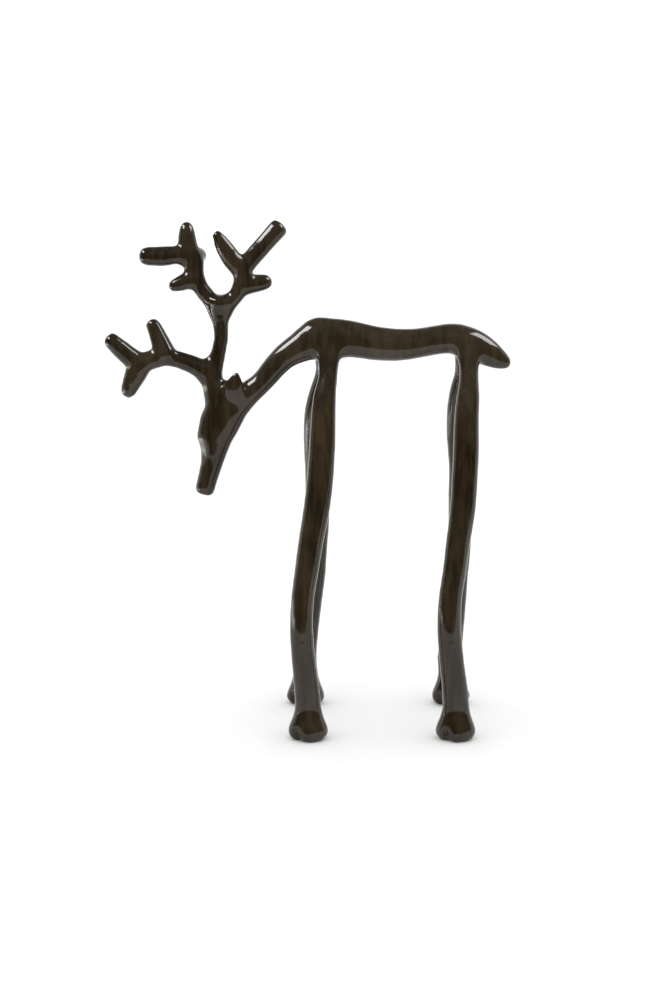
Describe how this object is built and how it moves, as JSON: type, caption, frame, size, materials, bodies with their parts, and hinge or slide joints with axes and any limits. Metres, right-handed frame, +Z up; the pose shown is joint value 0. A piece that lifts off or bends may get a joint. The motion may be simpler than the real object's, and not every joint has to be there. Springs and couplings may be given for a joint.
{
  "type": "deer figurine",
  "caption": "Stylised cast deer standing on long slim legs, head lowered, with a branching antler rack and cloven hooves.",
  "frame": {"origin": "centre of the figure's outline, on the ground that the four hooves stand on", "axes": "+Z up; the muzzle points along -X and the tail along +X; the left flank faces -Y"},
  "size_m": [0.174, 0.0678, 0.2205],
  "materials": {
    "enamel": "very dark brown gloss lacquer over a hand-modelled casting"
  },
  "bodies": {
    "root": {"deer": "enamel"}
  },
  "joints": []
}
